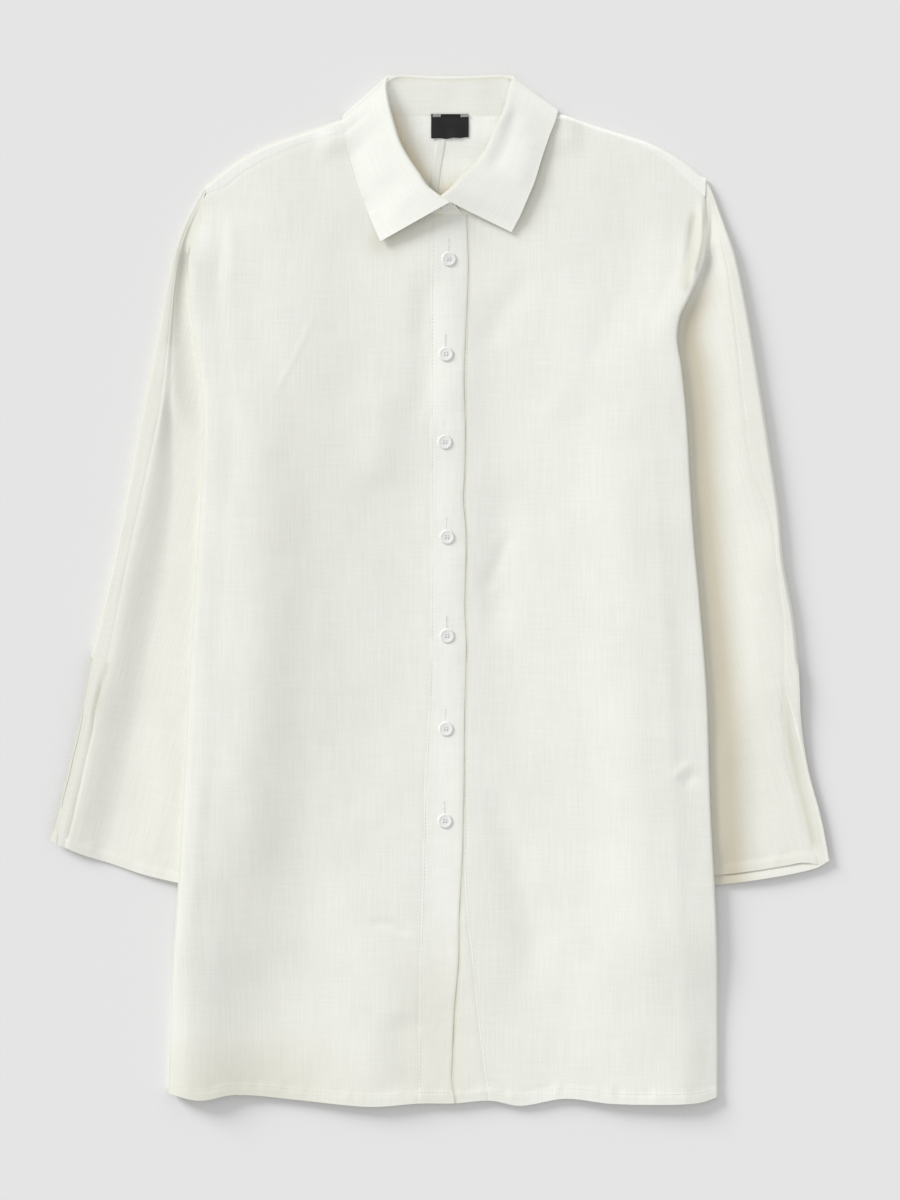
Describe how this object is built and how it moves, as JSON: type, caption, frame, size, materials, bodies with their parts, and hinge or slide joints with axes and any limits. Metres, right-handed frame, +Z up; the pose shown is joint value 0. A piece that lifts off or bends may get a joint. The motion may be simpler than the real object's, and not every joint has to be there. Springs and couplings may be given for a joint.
{
  "type": "linen shirt",
  "caption": "Oversized long shirt of plain linen with a pointed collar and a button placket, laid out flat on its back with its sleeves turned down.",
  "frame": {"origin": "middle of the laid-out shirt's box, on the surface that it lies on", "axes": "+Y from the hem to the collar, +Z up from the surface, -X towards the wearer's right sleeve"},
  "size_m": [0.7259, 0.9596, 0.0152],
  "materials": {
    "linen": "plain woven linen, matte, off-white",
    "label_black": "smooth woven tape, bare",
    "button_clear": "clear, glossy"
  },
  "bodies": {
    "root": {"front_right": "linen", "front_left": "linen", "back_right": "linen", "back_left": "linen", "placket": "linen", "button_band": "linen", "sleeve_right_front": "linen", "sleeve_right_back": "linen", "sleeve_left_front": "linen", "sleeve_left_back": "linen", "collar_stand": "linen", "collar": "linen", "neck_label": "label_black", "button_1": "button_clear", "button_2": "button_clear", "button_3": "button_clear", "button_4": "button_clear", "button_5": "button_clear", "button_6": "button_clear", "button_7": "button_clear", "button_stand": "button_clear"}
  },
  "joints": []
}
